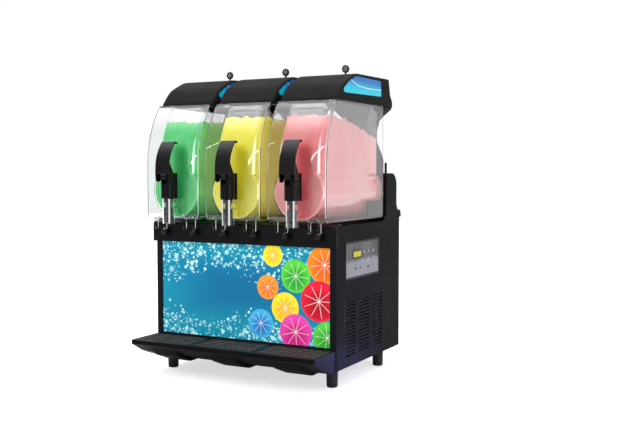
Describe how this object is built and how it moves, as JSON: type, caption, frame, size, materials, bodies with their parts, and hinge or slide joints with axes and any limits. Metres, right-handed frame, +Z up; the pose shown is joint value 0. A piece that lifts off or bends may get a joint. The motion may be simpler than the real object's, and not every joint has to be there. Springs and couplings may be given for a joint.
{
  "type": "slush machine",
  "caption": "Countertop frozen drink machine: clear insulated bowls with spiral augers over cold drums, lever taps, lidded tops, a lit front panel and lift-out drip trays on a louvred cabinet.",
  "frame": {"origin": "on the floor, in the middle of the machine's outer box", "axes": "+Z up, -Y is the side with the taps and the drip trays, +X is to the right of someone who faces the taps"},
  "size_m": [0.6, 0.564, 0.8913],
  "materials": {
    "steel_frame": "satin",
    "foot_rubber": "matt",
    "panel_paint": "satin",
    "screw_steel": "satin",
    "trim_gloss": "gloss",
    "light_print": "gloss",
    "lamp_board": "matt",
    "deck_paint": "satin",
    "tower_plastic": "satin",
    "stainless": "brushed",
    "seal_rubber": "matt",
    "motor_paint": "satin",
    "compressor_paint": "gloss",
    "fin_aluminium": "satin",
    "shroud_steel": "satin",
    "fan_aluminium": "satin",
    "copper": "satin",
    "overlay_film": "satin",
    "switch_plastic": "gloss",
    "board_laminate": "satin",
    "gland_plastic": "satin",
    "clear_plastic": "gloss",
    "slush_left": "moist",
    "auger_plastic": "satin",
    "tap_plastic": "gloss",
    "piston_plastic": "satin",
    "lid_plastic": "satin",
    "window_plastic": "gloss",
    "key_steel": "satin",
    "tray_plastic": "satin",
    "grille_plastic": "satin",
    "slush_centre": "moist",
    "slush_right": "moist"
  },
  "bodies": {
    "cabinet": {"chassis": "steel_frame", "feet": "foot_rubber", "side_panels": "panel_paint", "rear_panel": "panel_paint", "rear_screws": "screw_steel", "front_trim": "trim_gloss", "catch_pegs": "trim_gloss", "light_panel": "light_print", "light_board": "lamp_board", "deck": "deck_paint", "rear_tower": "tower_plastic", "masts": "tower_plastic", "evaporator_drums": "stainless", "bowl_gaskets": "seal_rubber", "gearmotors": "motor_paint", "compressor": "compressor_paint", "condenser": "fin_aluminium", "fan_shroud": "shroud_steel", "refrigerant_pipes": "copper", "control_overlay": "overlay_film", "control_board": "board_laminate", "power_fittings": "gland_plastic"},
    "condenser_fan": {"condenser_fan": "fan_aluminium"},
    "power_switch": {"power_switch": "switch_plastic"},
    "bowl_left": {"bowl_left": "clear_plastic", "slush_left": "slush_left", "tap_housing_left": "tap_plastic"},
    "tap_handle_left": {"tap_handle_left": "tap_plastic"},
    "tap_piston_left": {"tap_piston_left": "piston_plastic"},
    "auger_left": {"auger_left": "auger_plastic", "drive_shaft_left": "stainless"},
    "lid_left": {"lid_left": "lid_plastic", "lid_windows_left": "window_plastic"},
    "lid_key_left": {"lid_key_left": "key_steel"},
    "drip_tray_left": {"drip_tray_left": "tray_plastic"},
    "drip_grille_left": {"drip_grille_left": "grille_plastic"},
    "bowl_centre": {"bowl_centre": "clear_plastic", "slush_centre": "slush_centre", "tap_housing_centre": "tap_plastic"},
    "tap_handle_centre": {"tap_handle_centre": "tap_plastic"},
    "tap_piston_centre": {"tap_piston_centre": "piston_plastic"},
    "auger_centre": {"auger_centre": "auger_plastic", "drive_shaft_centre": "stainless"},
    "lid_centre": {"lid_centre": "lid_plastic", "lid_windows_centre": "window_plastic"},
    "lid_key_centre": {"lid_key_centre": "key_steel"},
    "drip_tray_centre": {"drip_tray_centre": "tray_plastic"},
    "drip_grille_centre": {"drip_grille_centre": "grille_plastic"},
    "bowl_right": {"bowl_right": "clear_plastic", "slush_right": "slush_right", "tap_housing_right": "tap_plastic"},
    "tap_handle_right": {"tap_handle_right": "tap_plastic"},
    "tap_piston_right": {"tap_piston_right": "piston_plastic"},
    "auger_right": {"auger_right": "auger_plastic", "drive_shaft_right": "stainless"},
    "lid_right": {"lid_right": "lid_plastic", "lid_windows_right": "window_plastic"},
    "lid_key_right": {"lid_key_right": "key_steel"},
    "drip_tray_right": {"drip_tray_right": "tray_plastic"},
    "drip_grille_right": {"drip_grille_right": "grille_plastic"}
  },
  "joints": [
    {"name": "bowl_slide_left", "type": "slide", "parent": "cabinet", "child": "bowl_left", "axis": [0, -1, 0], "range_m": [0, 0.34]},
    {"name": "handle_pull_left", "type": "hinge", "parent": "bowl_left", "child": "tap_handle_left", "pos_m": [-0.2, -0.246, 0.566], "axis": [1, 0, 0], "range_deg": [0, 70], "stiffness_Nm_per_rad": 0.12, "springref_deg": -28.65},
    {"name": "piston_lift_left", "type": "slide", "parent": "bowl_left", "child": "tap_piston_left", "axis": [0, 0, 1], "range_m": [0, 0.02297]},
    {"name": "auger_spin_left", "type": "hinge", "parent": "cabinet", "child": "auger_left", "pos_m": [-0.2, -0.16, 0.5265], "axis": [0, 1, 0], "continuous": true},
    {"name": "lid_lift_left", "type": "slide", "parent": "bowl_left", "child": "lid_left", "axis": [0, 0, 1], "range_m": [0, 0.15]},
    {"name": "lid_key_turn_left", "type": "hinge", "parent": "lid_left", "child": "lid_key_left", "pos_m": [-0.2, 0.089, 0.8798], "axis": [0, 0, 1], "range_deg": [0, 90]},
    {"name": "tray_pull_left", "type": "slide", "parent": "cabinet", "child": "drip_tray_left", "axis": [0, -1, 0], "range_m": [0, 0.06]},
    {"name": "grille_lift_left", "type": "slide", "parent": "drip_tray_left", "child": "drip_grille_left", "axis": [0, 0, 1], "range_m": [0, 0.05]},
    {"name": "bowl_slide_centre", "type": "slide", "parent": "cabinet", "child": "bowl_centre", "axis": [0, -1, 0], "range_m": [0, 0.34]},
    {"name": "handle_pull_centre", "type": "hinge", "parent": "bowl_centre", "child": "tap_handle_centre", "pos_m": [0, -0.246, 0.566], "axis": [1, 0, 0], "range_deg": [0, 70], "stiffness_Nm_per_rad": 0.12, "springref_deg": -28.65},
    {"name": "piston_lift_centre", "type": "slide", "parent": "bowl_centre", "child": "tap_piston_centre", "axis": [0, 0, 1], "range_m": [0, 0.02297]},
    {"name": "auger_spin_centre", "type": "hinge", "parent": "cabinet", "child": "auger_centre", "pos_m": [0, -0.16, 0.5265], "axis": [0, 1, 0], "continuous": true},
    {"name": "lid_lift_centre", "type": "slide", "parent": "bowl_centre", "child": "lid_centre", "axis": [0, 0, 1], "range_m": [0, 0.15]},
    {"name": "lid_key_turn_centre", "type": "hinge", "parent": "lid_centre", "child": "lid_key_centre", "pos_m": [0, 0.089, 0.8798], "axis": [0, 0, 1], "range_deg": [0, 90]},
    {"name": "tray_pull_centre", "type": "slide", "parent": "cabinet", "child": "drip_tray_centre", "axis": [0, -1, 0], "range_m": [0, 0.06]},
    {"name": "grille_lift_centre", "type": "slide", "parent": "drip_tray_centre", "child": "drip_grille_centre", "axis": [0, 0, 1], "range_m": [0, 0.05]},
    {"name": "bowl_slide_right", "type": "slide", "parent": "cabinet", "child": "bowl_right", "axis": [0, -1, 0], "range_m": [0, 0.34]},
    {"name": "handle_pull_right", "type": "hinge", "parent": "bowl_right", "child": "tap_handle_right", "pos_m": [0.2, -0.246, 0.566], "axis": [1, 0, 0], "range_deg": [0, 70], "stiffness_Nm_per_rad": 0.12, "springref_deg": -28.65},
    {"name": "piston_lift_right", "type": "slide", "parent": "bowl_right", "child": "tap_piston_right", "axis": [0, 0, 1], "range_m": [0, 0.02297]},
    {"name": "auger_spin_right", "type": "hinge", "parent": "cabinet", "child": "auger_right", "pos_m": [0.2, -0.16, 0.5265], "axis": [0, 1, 0], "continuous": true},
    {"name": "lid_lift_right", "type": "slide", "parent": "bowl_right", "child": "lid_right", "axis": [0, 0, 1], "range_m": [0, 0.15]},
    {"name": "lid_key_turn_right", "type": "hinge", "parent": "lid_right", "child": "lid_key_right", "pos_m": [0.2, 0.089, 0.8798], "axis": [0, 0, 1], "range_deg": [0, 90]},
    {"name": "tray_pull_right", "type": "slide", "parent": "cabinet", "child": "drip_tray_right", "axis": [0, -1, 0], "range_m": [0, 0.06]},
    {"name": "grille_lift_right", "type": "slide", "parent": "drip_tray_right", "child": "drip_grille_right", "axis": [0, 0, 1], "range_m": [0, 0.05]},
    {"name": "fan_spin", "type": "hinge", "parent": "cabinet", "child": "condenser_fan", "pos_m": [0.268, 0.015, 0.16], "axis": [1, 0, 0], "continuous": true},
    {"name": "switch_rock", "type": "hinge", "parent": "cabinet", "child": "power_switch", "pos_m": [-0.215, 0.264, 0.12], "axis": [1, 0, 0], "range_deg": [0, 11]}
  ],
  "couplings": [
    {"joint": "piston_lift_left", "follows": "handle_pull_left", "m_per_rad": 0.01831},
    {"joint": "piston_lift_centre", "follows": "handle_pull_centre", "m_per_rad": 0.01831},
    {"joint": "piston_lift_right", "follows": "handle_pull_right", "m_per_rad": 0.01831}
  ]
}
